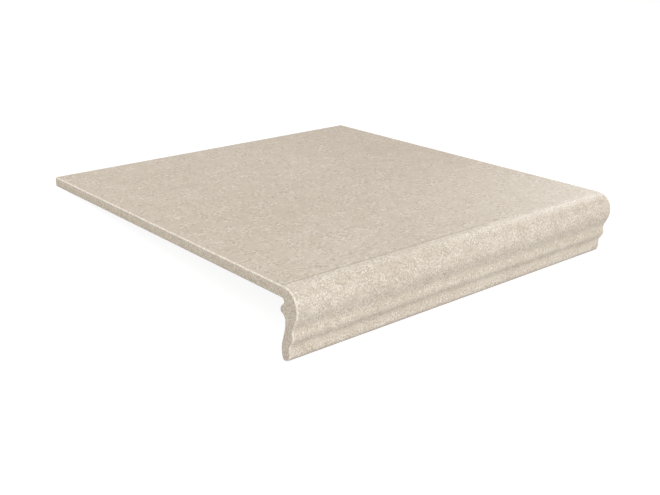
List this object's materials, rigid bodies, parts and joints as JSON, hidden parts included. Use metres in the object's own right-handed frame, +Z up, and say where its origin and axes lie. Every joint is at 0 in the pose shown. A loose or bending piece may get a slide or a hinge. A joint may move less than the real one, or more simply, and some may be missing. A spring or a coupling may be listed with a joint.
{
  "type": "stair tread tile",
  "caption": "Square porcelain stoneware stair tread tile whose front edge turns down into a moulded nosing with a rounded crown, waist, bead and lip.",
  "frame": {"origin": "on the floor below the middle of the tile, as it lies unheld", "axes": "+X along the nosing, +Y from the nosing to the back edge, +Z up"},
  "size_m": [0.3, 0.3136, 0.0471],
  "materials": {
    "stoneware": "matt unpolished stone-look face"
  },
  "bodies": {
    "root": {"tread_tile": "stoneware"}
  },
  "joints": []
}
